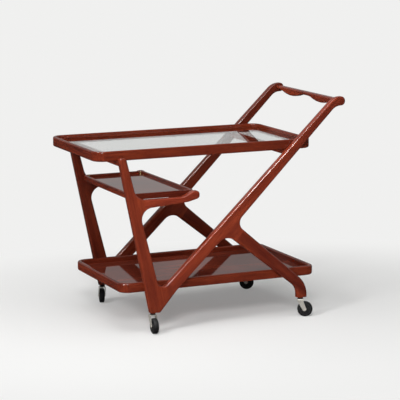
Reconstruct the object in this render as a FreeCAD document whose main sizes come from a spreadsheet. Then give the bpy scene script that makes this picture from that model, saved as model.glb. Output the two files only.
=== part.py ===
import FreeCAD, Part
import math
import os

import Sketcher

# Serving trolley: two bent side frames of rounded boards, a lift-off glass-bottomed tray,
# a small shelf, a large lower tray and four swivel casters.
# X runs from the front to the handle, Y from the left side to the right, Z up from the floor.
# The origin lies on the floor, below the middle of the trolley.

SIZES = {
    # side frames
    "frame_spacing": 484.0,  # from the middle of one side frame to the middle of the other
    "board_thickness": 26.0,
    "board_rounding": 7.0,
    "foot_rounding": 2.0,
    "foot_height": 72.5,  # underside of the wooden feet
    "front_foot_x": -267.0,
    "front_foot_length": 39.0,
    "front_leg_overlap": 13.0,  # of its top beside the upper tray
    "front_leg_lean": 11.77,  # degrees from upright, front edge
    "front_leg_back_lean": 14.52,  # degrees from upright, back edge
    "front_leg_top_length": 28.0,
    "front_leg_top_rounding": 10.0,
    "leg_arm_fillet": 23.0,
    # handle arm
    "handle_end_x": 478.0,
    "handle_end_top": 797.0,
    "handle_end_depth": 33.0,
    "handle_end_rounding": 15.5,
    "handle_shoulder_x": 435.4,  # where the arm's upper edge meets the level of the end's top
    "handle_top_curve": 62.0,
    "handle_neck_x": 441.0,  # where the arm's lower edge meets the level of the end's underside
    "handle_neck_curve": 47.0,
    "arm_root_height": 143.5,  # where its upper edge meets the line of the leg's back edge
    "arm_neck_spread": 1.62,  # degrees, between its two edges above the crossing
    "arm_width": 43.0,  # below the crossing
    # rear leg
    "rear_foot_x": 310.5,
    "rear_foot_length": 39.0,
    "rear_leg_fall": 40.5,  # degrees, upper edge
    "rear_leg_under_fall": 37.9,  # degrees, lower edge
    "rear_knee_rise": 49.0,  # above the foot, where the upper edge turns down
    "rear_under_knee_rise": 36.0,
    "rear_knee_curve": 90.0,
    "rear_under_knee_curve": 48.0,
    "crossing_under_fillet": 46.0,
    "crossing_rear_fillet": 31.0,
    # shelf bracket
    "bracket_ledge_share": 0.7590,  # of the front leg's height
    "bracket_root_drop": 33.0,  # from the ledge to the underside, at the leg's back edge
    "bracket_under_rise": 4.3,  # degrees
    "bracket_tip_x": -97.0,
    "bracket_tip_rise": 19.0,  # above the ledge
    "bracket_tip_depth": 27.0,
    "bracket_tip_length": 44.0,  # from the end back to the turn of the underside
    "bracket_tip_rounding": 13.0,
    "bracket_tip_top": 27.0,  # level top of the tip, its rounded end included
    "bracket_curl_rise": 29.0,  # degrees, where the ledge turns up to the tip
    "bracket_curl_curve": 60.0,
    "bracket_crest_curve": 24.0,
    "bracket_under_curve": 90.0,
    "bracket_top_fillet": 48.0,
    "bracket_under_fillet": 40.0,
    "bracket_joint_run": 28.5,  # behind the ledge's root
    # joints between the boards
    "joint_gap": 5.0,  # from the end of a fillet to the joint
    "dowel_radius": 4.0,
    "dowel_length": 40.0,
    "dowel_spread": 9.0,  # from the middle of a joint to each dowel
    "dowel_clearance": 0.05,
    "dowel_end_gap": 1.0,
    # cross rails
    "front_rail_run": 15.1,  # ahead of the leg's back edge
    "rear_rail_run": 24.7,  # behind the arm's upper edge
    "cross_rail_length": 25.0,  # along the trolley
    "cross_rail_depth": 17.5,
    "cross_rail_rounding": 4.0,
    "rail_dowel_radius": 3.0,
    "rail_dowel_reach": 15.0,  # into the board
    "rail_dowel_depth": 25.0,  # into the rail
    "rail_dowel_spread": 6.0,
    # handle bar
    "bar_end_run": 21.0,  # ahead of the arm's end
    "bar_drop": 8.5,  # below the arm's top
    "bar_length": 22.0,  # along the trolley
    "bar_rounding": 5.5,
    "bar_depth": 13.6,
    "bar_swell_depth": 38.0,  # of the swell's drawn corner, which the curve rounds off
    "bar_level_length": 30.0,  # at each end and to each side of the middle
    "bar_swell_curve": 278.0,
    "bar_level_curve": 130.0,
    "tenon_radius": 5.0,
    "tenon_length": 15.0,
    # upper tray
    "tray_side_gap": 1.5,
    "upper_tray_front_x": -478.0,
    "upper_tray_length": 839.0,
    "upper_tray_base": 613.5,
    "upper_rim_depth": 35.5,
    "upper_rim_width": 12.0,
    "upper_tray_corner": 42.0,
    "upper_rim_rounding": 5.0,
    "glass_drop": 13.0,  # from the top of the rim down to the glass
    "glass_thickness": 5.0,
    "glass_edge_gap": 1.0,
    "glass_lip_width": 6.0,
    "glass_lip_depth": 6.0,
    "upper_base_rounding": 6.5,
    # shelf
    "shelf_front_run": 17.5,  # ahead of the ledge's root
    "shelf_rear_run": 13.5,  # short of the bracket's tip
    "shelf_sink": 1.0,  # below the ledge
    "shelf_panel_rise": 6.5,  # above the base of the rim
    "shelf_rim_depth": 21.0,
    "shelf_rim_width": 10.0,
    "shelf_corner": 10.0,
    "shelf_inner_corner": 2.0,
    "shelf_rim_rounding": 3.5,
    "shelf_base_rounding": 2.5,
    "shelf_screw_front_run": 1.5,  # behind the ledge's root
    "shelf_screw_rear_run": 29.4,  # ahead of the bracket's tip
    "shelf_screw_drop": 5.7,  # below the top of the rim
    # lower tray
    "lower_tray_front_x": -386.5,
    "lower_tray_length": 763.5,
    "lower_tray_base": 145.5,
    "lower_rim_depth": 34.5,
    "lower_rim_width": 15.0,
    "lower_tray_corner": 37.0,
    "lower_rim_rounding": 6.5,
    "lower_base_rounding": 7.0,
    "lower_floor_drop": 18.5,
    "lower_screw_rise": 5.2,  # above the base of the rim, below the panel
    "lower_screw_front_run": 34.5,  # middle of the front pair, behind the foot
    "lower_screw_front_spread": 15.0,
    "lower_screw_rear_run": 47.5,  # middle of the rear pair, ahead of the foot
    "lower_screw_rear_spread": 10.0,
    # panels and screws
    "panel_thickness": 5.0,
    "panel_tongue": 5.0,  # how far a panel reaches into its rim
    "panel_gap": 0.2,
    "screw_radius": 1.8,
    "screw_reach": 8.0,  # into the board, short of the dowels
    "screw_point": 3.0,
    "screw_head_radius": 3.6,
    "screw_head_depth": 2.0,
    "screw_clearance": 0.05,
    # casters
    "socket_radius": 6.0,
    "socket_wall": 2.0,
    "socket_depth": 34.0,
    "socket_cap_depth": 7.0,
    "socket_cap_radius": 9.5,
    "socket_cap_rounding": 1.5,
    "stem_clearance": 0.05,
    "stem_end_gap": 2.0,
    "stem_head_radius": 6.5,
    "stem_head_depth": 1.8,
    "stem_point": 1.0,
    "swivel_gap": 0.3,
    "front_stem_ahead": 7.0,  # of the foot's middle
    "rear_stem_ahead": 2.0,
    "wheel_radius": 27.5,
    "wheel_width": 18.0,
    "wheel_trail": 17.0,
    "tyre_thickness": 5.0,
    "tyre_rounding": 4.0,
    "hub_radius": 9.0,
    "hub_proud": 1.0,
    "web_recess": 4.0,
    "core_rim_depth": 3.5,
    "wheel_side_gap": 1.5,
    "fork_thickness": 1.8,
    "fork_crown_thickness": 2.6,
    "fork_head_length": 22.0,
    "fork_head_depth": 7.0,
    "fork_eye_radius": 6.5,
    "fork_corner": 3.0,
    "axle_radius": 3.0,
    "axle_head_radius": 4.6,
    "axle_head_depth": 1.2,
    "axle_clearance": 0.05,
    # rest turn of each caster about its stem, in degrees: the way its wheel trails
    "front_left_turn": -93.5,
    "front_right_turn": 75.0,
    "rear_left_turn": -24.6,
    "rear_right_turn": -24.6,
    # how far cutting tools reach past a face
    "overrun": 2.0,
}

# The part of an outline's run that the roundings at its two ends may take up.
ROUNDING_ROOM_SHARE = 0.97

# Places worked out from the sizes. Each line may use the lines above it.
LAYOUT = {
    "half_spacing": "frame_spacing / 2",
    "half_board": "board_thickness / 2",
    "inner_face": "half_spacing - half_board",
    # heights that follow the upper tray's
    "front_leg_height": "upper_tray_base + front_leg_overlap",
    "bracket_ledge_height": "front_leg_height * bracket_ledge_share",
    "bracket_root_height": "bracket_ledge_height - bracket_root_drop",
    "bracket_tip_height": "bracket_ledge_height + bracket_tip_rise",
    # front leg
    "front_foot_front": "front_foot_x - front_foot_length / 2",
    "front_foot_back": "front_foot_x + front_foot_length / 2",
    "leg_top_front": "front_foot_front - (front_leg_height - foot_height) * tan(front_leg_lean * 1 deg)",
    "leg_top_back": "leg_top_front + front_leg_top_length",
    "leg_slope": "tan(front_leg_back_lean * 1 deg)",
    # shelf bracket, which grows from the leg's back edge
    "ledge_root_x": "leg_top_back + (front_leg_height - bracket_ledge_height) * leg_slope",
    "under_root_x": "leg_top_back + (front_leg_height - bracket_root_height) * leg_slope",
    "under_slope": "tan(bracket_under_rise * 1 deg)",
    "bracket_joint_x": "ledge_root_x + bracket_joint_run",
    "bracket_joint_z": "(bracket_ledge_height + bracket_root_height) / 2",
    "tip_turn_x": "bracket_tip_x - bracket_tip_length",
    "tip_turn_z": "bracket_root_height + (tip_turn_x - under_root_x) * under_slope",
    "tip_under": "bracket_tip_height - bracket_tip_depth",
    "crest_x": "bracket_tip_x - bracket_tip_top",
    "curl_x": "crest_x - (bracket_tip_height - bracket_ledge_height) / tan(bracket_curl_rise * 1 deg)",
    # handle arm
    "end_under": "handle_end_top - handle_end_depth",
    "arm_root_x": "leg_top_back + (front_leg_height - arm_root_height) * leg_slope",
    "arm_rise": "atan((handle_end_top - arm_root_height) / (handle_shoulder_x - arm_root_x)) / 1 deg",
    "arm_neck_rise": "arm_rise + arm_neck_spread",
    "arm_slope": "tan(arm_rise * 1 deg)",
    "neck_slope": "tan(arm_neck_rise * 1 deg)",
    "arm_drop": "arm_width / cos(arm_rise * 1 deg)",
    # joint of the leg and the arm, square to the arm
    "arm_root_run": "leg_arm_fillet / tan((90 + front_leg_back_lean - arm_rise) / 2 * 1 deg) + joint_gap",
    "arm_joint_x": "arm_root_x + arm_root_run * cos(arm_rise * 1 deg)",
    "arm_joint_z": "arm_root_height + arm_root_run * sin(arm_rise * 1 deg)",
    "arm_joint_under_x": "arm_joint_x + arm_width * sin(arm_rise * 1 deg)",
    "arm_joint_under_z": "arm_joint_z - arm_width * cos(arm_rise * 1 deg)",
    # rear leg
    "rear_foot_front": "rear_foot_x - rear_foot_length / 2",
    "rear_foot_back": "rear_foot_x + rear_foot_length / 2",
    "knee_z": "foot_height + rear_knee_rise",
    "under_knee_z": "foot_height + rear_under_knee_rise",
    "rear_slope": "tan(rear_leg_fall * 1 deg)",
    "rear_under_slope": "tan(rear_leg_under_fall * 1 deg)",
    # behind the crossing, the arm's lower edge and the rear leg's upper edge meet
    "crotch_rear_x": "(knee_z + rear_foot_back * rear_slope - end_under + handle_neck_x * neck_slope)"
                     " / (neck_slope + rear_slope)",
    "crotch_rear_z": "end_under - (handle_neck_x - crotch_rear_x) * neck_slope",
    # below the crossing, the lower edges of the arm and the rear leg meet
    "crotch_under_x": "(under_knee_z + rear_foot_front * rear_under_slope - handle_end_top + arm_drop"
                      " + handle_shoulder_x * arm_slope) / (arm_slope + rear_under_slope)",
    "crotch_under_z": "handle_end_top - arm_drop - (handle_shoulder_x - crotch_under_x) * arm_slope",
    # joint of the arm and the rear leg, square to the leg's lower edge
    "rear_run": "crossing_rear_fillet / tan((arm_neck_rise + rear_leg_fall) / 2 * 1 deg) + joint_gap",
    "rear_joint_x": "crotch_rear_x + rear_run * cos(rear_leg_fall * 1 deg)",
    "rear_joint_z": "crotch_rear_z - rear_run * sin(rear_leg_fall * 1 deg)",
    "rear_under_run": "(rear_joint_x - crotch_under_x) * cos(rear_leg_under_fall * 1 deg)"
                      " + (crotch_under_z - rear_joint_z) * sin(rear_leg_under_fall * 1 deg)",
    "rear_joint_under_x": "crotch_under_x + rear_under_run * cos(rear_leg_under_fall * 1 deg)",
    "rear_joint_under_z": "crotch_under_z - rear_under_run * sin(rear_leg_under_fall * 1 deg)",
    # cross rails and handle bar
    "rail_middle_z": "upper_tray_base - cross_rail_depth / 2",
    "front_rail_x": "leg_top_back + (front_leg_height - rail_middle_z) * leg_slope - front_rail_run",
    "rear_rail_x": "handle_shoulder_x - (handle_end_top - rail_middle_z) / arm_slope + rear_rail_run",
    "bar_x": "handle_end_x - bar_end_run",
    "bar_top": "handle_end_top - bar_drop",
    "tenon_z": "bar_top - bar_depth / 2",
    # trays
    "upper_half": "inner_face - tray_side_gap",
    "upper_rear_x": "upper_tray_front_x + upper_tray_length",
    "glass_seat": "upper_rim_depth - glass_drop - glass_thickness",
    "glass_inset": "upper_rim_width + glass_edge_gap",
    "lip_inset": "upper_rim_width + glass_lip_width",
    "shelf_front_x": "ledge_root_x - shelf_front_run",
    "shelf_rear_x": "bracket_tip_x - shelf_rear_run",
    "shelf_base": "bracket_ledge_height - shelf_sink",
    "shelf_screw_front_x": "ledge_root_x + shelf_screw_front_run",
    "shelf_screw_rear_x": "bracket_tip_x - shelf_screw_rear_run",
    "shelf_screw_z": "shelf_base + shelf_rim_depth - shelf_screw_drop",
    "lower_rear_x": "lower_tray_front_x + lower_tray_length",
    "lower_groove": "lower_rim_depth - lower_floor_drop - panel_thickness",
    "lower_screw_z": "lower_tray_base + lower_screw_rise",
    "lower_screw_front_x": "front_foot_x + lower_screw_front_run",
    "lower_screw_rear_x": "rear_foot_x - lower_screw_rear_run",
    # casters
    "stem_radius": "socket_radius - socket_wall",
    "front_stem_x": "front_foot_x - front_stem_ahead",
    "rear_stem_x": "rear_foot_x - rear_stem_ahead",
    "crown_top": "foot_height - socket_cap_depth - swivel_gap",
    "crown_under": "crown_top - fork_crown_thickness",
    "stem_top": "foot_height + socket_depth - socket_wall - stem_end_gap",
    "fork_inside": "wheel_width + 2 * wheel_side_gap",
    "fork_width": "fork_inside + 2 * fork_thickness",
    "core_radius": "wheel_radius - tyre_thickness",
}

doc = FreeCAD.newDocument("serving_trolley")

sizes = doc.addObject("Spreadsheet::Sheet", "sizes")
for row, (alias, number) in enumerate(SIZES.items(), start=1):
    sizes.set("A%d" % row, alias)
    sizes.set("B%d" % row, repr(number))
    sizes.setAlias("B%d" % row, alias)
doc.recompute()

layout = doc.addObject("App::VarSet", "layout")


def formula(text):
    """A formula in plain names, with each name led by the object that holds its value."""
    out = ""
    word = ""
    for letter in text + " ":
        if letter.isalnum() or letter == "_":
            word += letter
            continue
        if word in SIZES:
            word = "sizes." + word
        elif word in LAYOUT:
            word = "layout." + word
        out += word + letter
        word = ""
    return out.strip()


for alias, text in LAYOUT.items():
    layout.addProperty("App::PropertyFloat", alias)
    layout.setExpression(alias, formula(text))
doc.recompute()


def value(text):
    """The number that a formula in plain names gives."""
    result = layout.evalExpression(formula(text))
    return float(getattr(result, "Value", result))


# How near two places must be to count as one.
CLOSE = 1e-4

# Where a sketch's two directions lie in space, for each plane.
IN_SPACE = {
    "XY_Plane": lambda u, v: (u, v, None),
    "XZ_Plane": lambda u, v: (u, None, v),
    "YZ_Plane": lambda u, v: (None, u, v),
}


def new_body(name):
    body = doc.addObject("PartDesign::Body", name)
    body.Label = name
    return body


def place(thing, x="0", y="0", z="0", axis=(0, 0, 1), turn="0"):
    """Put an object at a place given by formulas, turned about an axis by an angle in degrees."""
    turned_by = FreeCAD.Rotation(FreeCAD.Vector(*axis), value(turn))
    thing.Placement = FreeCAD.Placement(FreeCAD.Vector(), turned_by)
    for direction, text in (("x", x), ("y", y), ("z", z)):
        thing.setExpression("Placement.Base." + direction, formula(text))
    if turn != "0":
        thing.setExpression("Placement.Rotation.Angle", formula(turn))


def new_sketch(body, name, plane, height="0"):
    """An empty sketch on one of a body's origin planes, or at a height over it."""
    sketch = body.newObject("Sketcher::SketchObject", name)
    support = next(feature for feature in body.Origin.OriginFeatures if feature.Role == plane)
    sketch.AttachmentSupport = (support, [""])
    sketch.MapMode = "FlatFace"
    if height != "0":
        sketch.setExpression("AttachmentOffset.Base.z", formula(height))
    return sketch


def dimension(sketch, kind, run, number, text):
    """Hold a run's start at a distance from the sketch's origin, or a curve at a radius."""
    if kind == "Radius":
        index = sketch.addConstraint(Sketcher.Constraint(kind, run, number))
    else:
        index = sketch.addConstraint(Sketcher.Constraint(kind, -1, 1, run, 1, number))
    sketch.setExpression("Constraints[%d]" % index, formula(text))


def outline(body, name, plane, corners, height="0"):
    """A closed sketch of straight runs, each of its corners held by two dimensions."""
    sketch = new_sketch(body, name, plane, height)
    points = [FreeCAD.Vector(value(u), value(v), 0) for u, v in corners]
    for start, end in zip(points, points[1:] + points[:1]):
        sketch.addGeometry(Part.LineSegment(start, end), False)
    for run in range(len(points)):
        sketch.addConstraint(Sketcher.Constraint("Coincident", run, 2, (run + 1) % len(points), 1))
    for run, (point, texts) in enumerate(zip(points, corners)):
        dimension(sketch, "DistanceX", run, point.x, texts[0])
        dimension(sketch, "DistanceY", run, point.y, texts[1])
    return sketch


def extrude(body, name, sketch, length, cut=False, middle=False, reverse=False):
    """Pad or pocket a sketch by a length given as a formula."""
    feature = body.newObject("PartDesign::Pocket" if cut else "PartDesign::Pad", name)
    feature.Profile = sketch
    feature.SideType = "Symmetric" if middle else "One side"
    feature.Reversed = reverse
    feature.setExpression("Length", formula(length))
    return feature


def edges_at(shape, plane, point):
    """Names of the edges that run square to a plane through a point of it."""
    wanted = IN_SPACE[plane](*point)
    names = []
    for index, edge in enumerate(shape.Edges, start=1):
        ends = [vertex.Point for vertex in edge.Vertexes]
        if len(ends) == 2 and all(number is None or abs(end[axis] - number) < CLOSE
                                  for end in ends for axis, number in enumerate(wanted)):
            names.append("Edge%d" % index)
    return names


def fitting_radii(points, radii):
    """Corner radii, drawn in where two of them would need more than the run between them."""
    count = len(points)
    runs = []
    for i in range(count):
        before = math.dist(points[i], points[i - 1])
        toward = [(points[i - 1][k] - points[i][k]) / before for k in (0, 1)]
        after = math.dist(points[i], points[(i + 1) % count])
        onward = [(points[(i + 1) % count][k] - points[i][k]) / after for k in (0, 1)]
        opening = math.acos(toward[0] * onward[0] + toward[1] * onward[1])
        runs.append(radii[i] / math.tan(opening / 2))
    fitting = list(radii)
    for i in range(count):
        for j in (i, i - 1):
            room = math.dist(points[j], points[(j + 1) % count]) * ROUNDING_ROOM_SHARE
            needed = runs[j] + runs[(j + 1) % count]
            if needed > room:
                fitting[i] = min(fitting[i], radii[i] * room / needed)
    return fitting


def round_corners(body, name, plane, corners):
    """Round the corners of the body's outline; each corner is two places and a radius or none."""
    doc.recompute()
    points = [(value(corner[0]), value(corner[1])) for corner in corners]
    radii = [value(corner[2]) if corner[2] else 0.0 for corner in corners]
    groups = {}
    for point, corner, radius, fitting in zip(points, corners, radii, fitting_radii(points, radii)):
        if corner[2]:
            text = formula(corner[2]) if fitting == radius else repr(fitting)
            groups.setdefault(text, []).append(point)
    for count, (text, places) in enumerate(groups.items(), start=1):
        base = body.Tip
        names = [edge for point in places for edge in edges_at(base.Shape, plane, point)]
        fillet = body.newObject("PartDesign::Fillet", "%s_corners_%d" % (name, count))
        fillet.Base = (base, names)
        fillet.setExpression("Radius", text)
        doc.recompute()


def round_edges(body, name, radius, wanted):
    """Round every edge of the body for which the given test of its midpoint and itself holds."""
    doc.recompute()
    base = body.Tip
    names = []
    for index, edge in enumerate(base.Shape.Edges, start=1):
        middle = edge.valueAt((edge.FirstParameter + edge.LastParameter) / 2)
        if wanted(middle, edge):
            names.append("Edge%d" % index)
    fillet = body.newObject("PartDesign::Fillet", name)
    fillet.Base = (base, names)
    fillet.setExpression("Radius", formula(radius))


def bore(body, name, radius, depth, **where):
    """A round hole cut into a body, along the placed cylinder's own Z."""
    hole = body.newObject("PartDesign::SubtractiveCylinder", name)
    hole.setExpression("Radius", formula(radius))
    hole.setExpression("Height", formula(depth))
    place(hole, **where)


def turned(name, profile, plane, axis):
    """A body turned from a profile about one of its sketch's axes."""
    body = new_body(name)
    sketch = outline(body, name + "_profile", plane, profile)
    turning = body.newObject("PartDesign::Revolution", name + "_turning")
    turning.Profile = sketch
    turning.ReferenceAxis = (sketch, [axis])
    turning.Angle = 360
    return body


def group(name, members):
    """Equal small pieces under one name."""
    compound = doc.addObject("Part::Compound", name)
    compound.Label = name
    compound.Links = members
    return compound


NODES = []


def node(thing):
    """Note an object as one of the finished pieces."""
    NODES.append(thing)
    return thing


SIDES = {"left": "-1", "right": "1"}

# Joints between a frame's boards: place, direction in degrees from X up, and spread of the dowels.
JOINTS = {
    "bracket_joint": ("bracket_joint_x", "bracket_joint_z", "0", "dowel_spread"),
    "arm_joint": ("(arm_joint_x + arm_joint_under_x) / 2", "(arm_joint_z + arm_joint_under_z) / 2",
                  "arm_rise", "dowel_spread"),
    "rear_joint": ("(rear_joint_x + rear_joint_under_x) / 2", "(rear_joint_z + rear_joint_under_z) / 2",
                   "-rear_leg_under_fall", "dowel_spread"),
}


def dowel_starts(joint, half, offset):
    """Places of a joint's two cylinders, each starting the given way back along its direction."""
    x, z, angle, spread = JOINTS[joint]
    for count, sign in enumerate(("+", "-"), start=1):
        side_x = "%s %s %s * sin((%s) * 1 deg)" % (x, "-" if sign == "+" else "+", spread, angle)
        side_z = "%s %s %s * cos((%s) * 1 deg)" % (z, sign, spread, angle)
        yield count, {
            "x": "%s - (%s) * cos((%s) * 1 deg)" % (side_x, offset, angle),
            "z": "%s - (%s) * sin((%s) * 1 deg)" % (side_z, offset, angle),
            "axis": (0, 1, 0),
            "turn": "90 - (%s)" % angle,
        }


def board(name, side, corners, plain, joints=(), rails=(), screws=(), feet=(), tenons=()):
    """A rounded board of a side frame, bored for its dowels, screws, tenon and caster socket.

    Runs of the outline that are numbered in plain keep their edges: joints and the foot's underside.
    """
    body = new_body("%s_%s" % (name, side))
    sketch = outline(body, body.Name + "_outline", "XZ_Plane", [corner[:2] for corner in corners])
    extrude(body, body.Name + "_pad", sketch, "board_thickness", middle=True)
    round_corners(body, body.Name, "XZ_Plane", corners)
    half = value("half_board")
    points = [FreeCAD.Vector(value(x), 0, value(z)) for x, z, radius in corners]
    plain_runs = [(points[run], points[(run + 1) % len(points)]) for run in plain]

    def outlined(middle, edge):
        if abs(abs(middle.y) - half) > 1e-4 or any(abs(abs(v.Y) - half) > 1e-4 for v in edge.Vertexes):
            return False
        flat = FreeCAD.Vector(middle.x, 0, middle.z)
        return all(flat.distanceToLine(start, end - start) > 1e-3 for start, end in plain_runs)

    round_edges(body, body.Name + "_rounding", "board_rounding", outlined)
    for joint in joints:
        for count, where in dowel_starts(joint, half, "dowel_length / 2 + dowel_end_gap"):
            bore(body, "%s_%s_bore_%d" % (body.Name, joint, count), "dowel_radius + dowel_clearance",
                 "dowel_length + 2 * dowel_end_gap", **where)
    inward = {"y": "-(%s) * half_board" % SIDES[side], "axis": (-1, 0, 0), "turn": "90 * (%s)" % SIDES[side]}
    for count, (x, z) in enumerate(rails, start=1):
        bore(body, "%s_rail_bore_%d" % (body.Name, count), "rail_dowel_radius + dowel_clearance",
             "rail_dowel_reach + dowel_end_gap", x=x, z=z, **inward)
    for count, (x, z) in enumerate(screws, start=1):
        bore(body, "%s_screw_hole_%d" % (body.Name, count), "screw_radius + screw_clearance",
             "screw_reach + dowel_end_gap", x=x, z=z, **inward)
    for count, (x, z) in enumerate(tenons, start=1):
        bore(body, "%s_tenon_bore_%d" % (body.Name, count), "tenon_radius + dowel_clearance",
             "tenon_length + dowel_end_gap", x=x, z=z, **inward)
    for count, x in enumerate(feet, start=1):
        bore(body, "%s_socket_bore_%d" % (body.Name, count), "socket_radius + dowel_clearance",
             "socket_depth + dowel_end_gap", x=x, z="foot_height")
    place(body, y="(%s) * half_spacing" % SIDES[side])
    return body


FRONT_RAIL_DOWELS = [("front_rail_x + rail_dowel_spread", "rail_middle_z"),
                     ("front_rail_x - rail_dowel_spread", "rail_middle_z")]
REAR_RAIL_DOWELS = [("rear_rail_x + rail_dowel_spread", "rail_middle_z"),
                    ("rear_rail_x - rail_dowel_spread", "rail_middle_z")]
SHELF_SCREWS = [("shelf_screw_front_x", "shelf_screw_z"), ("shelf_screw_rear_x", "shelf_screw_z")]
LOWER_SCREWS = [("lower_screw_front_x - lower_screw_front_spread", "lower_screw_z"),
                ("lower_screw_front_x + lower_screw_front_spread", "lower_screw_z"),
                ("lower_screw_rear_x - lower_screw_rear_spread", "lower_screw_z"),
                ("lower_screw_rear_x + lower_screw_rear_spread", "lower_screw_z")]

for side in SIDES:
    # The leg and its bracket are shaped as one and parted at an upright joint
    leg = board("front_leg_blank", side, [
        ("front_foot_front", "foot_height", None),
        ("leg_top_front", "front_leg_height", "front_leg_top_rounding"),
        ("leg_top_back", "front_leg_height", "front_leg_top_rounding"),
        ("ledge_root_x", "bracket_ledge_height", "bracket_top_fillet"),
        ("curl_x", "bracket_ledge_height", "bracket_curl_curve"),
        ("crest_x", "bracket_tip_height", "bracket_crest_curve"),
        ("bracket_tip_x", "bracket_tip_height", "bracket_tip_rounding"),
        ("bracket_tip_x", "tip_under", "bracket_tip_rounding"),
        ("tip_turn_x", "tip_turn_z", "bracket_under_curve"),
        ("under_root_x", "bracket_root_height", "bracket_under_fillet"),
        ("arm_root_x", "arm_root_height", "leg_arm_fillet"),
        ("arm_joint_x", "arm_joint_z", None),
        ("arm_joint_under_x", "arm_joint_under_z", None),
        ("front_foot_back", "foot_height", None),
    ], plain=(11, 13), joints=("bracket_joint", "arm_joint"), rails=FRONT_RAIL_DOWELS,
        screws=SHELF_SCREWS + LOWER_SCREWS[:2], feet=("front_stem_x",))
    bracket_room = new_body("bracket_room_" + side)
    room = outline(bracket_room, "bracket_room_outline_" + side, "XZ_Plane", [
        ("bracket_joint_x", "bracket_root_height - bracket_under_fillet"),
        ("bracket_tip_x + overrun", "bracket_root_height - bracket_under_fillet"),
        ("bracket_tip_x + overrun", "bracket_tip_height + overrun"),
        ("bracket_joint_x", "bracket_tip_height + overrun"),
    ])
    extrude(bracket_room, "bracket_room_pad_" + side, room, "board_thickness + 2 * overrun", middle=True)
    place(bracket_room, y="(%s) * half_spacing" % SIDES[side])
    for kind, name in (("Part::Cut", "front_leg_"), ("Part::Common", "shelf_bracket_")):
        board_piece = doc.addObject(kind, name + side)
        board_piece.Label = name + side
        board_piece.Base = leg
        board_piece.Tool = bracket_room
        node(board_piece)
    node(board("handle_arm", side, [
        ("arm_joint_under_x", "arm_joint_under_z", None),
        ("arm_joint_x", "arm_joint_z", None),
        ("handle_shoulder_x", "handle_end_top", "handle_top_curve"),
        ("handle_end_x", "handle_end_top", "handle_end_rounding"),
        ("handle_end_x", "end_under", "handle_end_rounding"),
        ("handle_neck_x", "end_under", "handle_neck_curve"),
        ("crotch_rear_x", "crotch_rear_z", "crossing_rear_fillet"),
        ("rear_joint_x", "rear_joint_z", None),
        ("rear_joint_under_x", "rear_joint_under_z", None),
        ("crotch_under_x", "crotch_under_z", "crossing_under_fillet"),
    ], plain=(0, 7), joints=("arm_joint", "rear_joint"), rails=REAR_RAIL_DOWELS,
        tenons=(("bar_x", "tenon_z"),)))
    node(board("rear_leg", side, [
        ("rear_joint_under_x", "rear_joint_under_z", None),
        ("rear_joint_x", "rear_joint_z", None),
        ("rear_foot_back", "knee_z", "rear_knee_curve"),
        ("rear_foot_back", "foot_height", None),
        ("rear_foot_front", "foot_height", None),
        ("rear_foot_front", "under_knee_z", "rear_under_knee_curve"),
    ], plain=(0, 3), joints=("rear_joint",), screws=LOWER_SCREWS[2:], feet=("rear_stem_x",)))

# Dowels of the frames' joints
dowels = []
for side, sign in SIDES.items():
    for joint in JOINTS:
        for count, where in dowel_starts(joint, "0", "dowel_length / 2"):
            dowel = doc.addObject("Part::Cylinder", "%s_%s_dowel_%d" % (side, joint, count))
            dowel.setExpression("Radius", formula("dowel_radius"))
            dowel.setExpression("Height", formula("dowel_length"))
            place(dowel, y="(%s) * half_spacing" % sign, **where)
            dowels.append(dowel)
node(group("frame_dowels", dowels))

# Cross rails under the upper tray, between the side frames
for name, x, places in (("front_cross_rail", "front_rail_x", FRONT_RAIL_DOWELS),
                        ("rear_cross_rail", "rear_rail_x", REAR_RAIL_DOWELS)):
    body = new_body(name)
    corners = [
        ("-cross_rail_length / 2", "-cross_rail_depth", "cross_rail_rounding"),
        ("cross_rail_length / 2", "-cross_rail_depth", "cross_rail_rounding"),
        ("cross_rail_length / 2", "0", None),
        ("-cross_rail_length / 2", "0", None),
    ]
    sketch = outline(body, name + "_section", "XZ_Plane", [corner[:2] for corner in corners])
    extrude(body, name + "_pad", sketch, "2 * inner_face", middle=True)
    round_corners(body, name, "XZ_Plane", corners)
    for side, sign in SIDES.items():
        for count, spread in enumerate(("rail_dowel_spread", "-rail_dowel_spread"), start=1):
            bore(body, "%s_%s_bore_%d" % (name, side, count), "rail_dowel_radius + dowel_clearance",
                 "rail_dowel_depth + dowel_end_gap", x=spread, y="(%s) * inner_face" % sign,
                 z="-cross_rail_depth / 2", axis=(1, 0, 0), turn="90 * (%s)" % sign)
    place(body, x=x, z="upper_tray_base")
    node(body)

rail_dowels = []
for side, sign in SIDES.items():
    for count, (x, z) in enumerate(FRONT_RAIL_DOWELS + REAR_RAIL_DOWELS, start=1):
        dowel = doc.addObject("Part::Cylinder", "%s_rail_dowel_%d" % (side, count))
        dowel.setExpression("Radius", formula("rail_dowel_radius"))
        dowel.setExpression("Height", formula("rail_dowel_reach + rail_dowel_depth"))
        place(dowel, x=x, y="(%s) * (inner_face - rail_dowel_depth)" % sign, z=z,
              axis=(-1, 0, 0), turn="90 * (%s)" % sign)
        rail_dowels.append(dowel)
node(group("cross_rail_dowels", rail_dowels))

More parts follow.
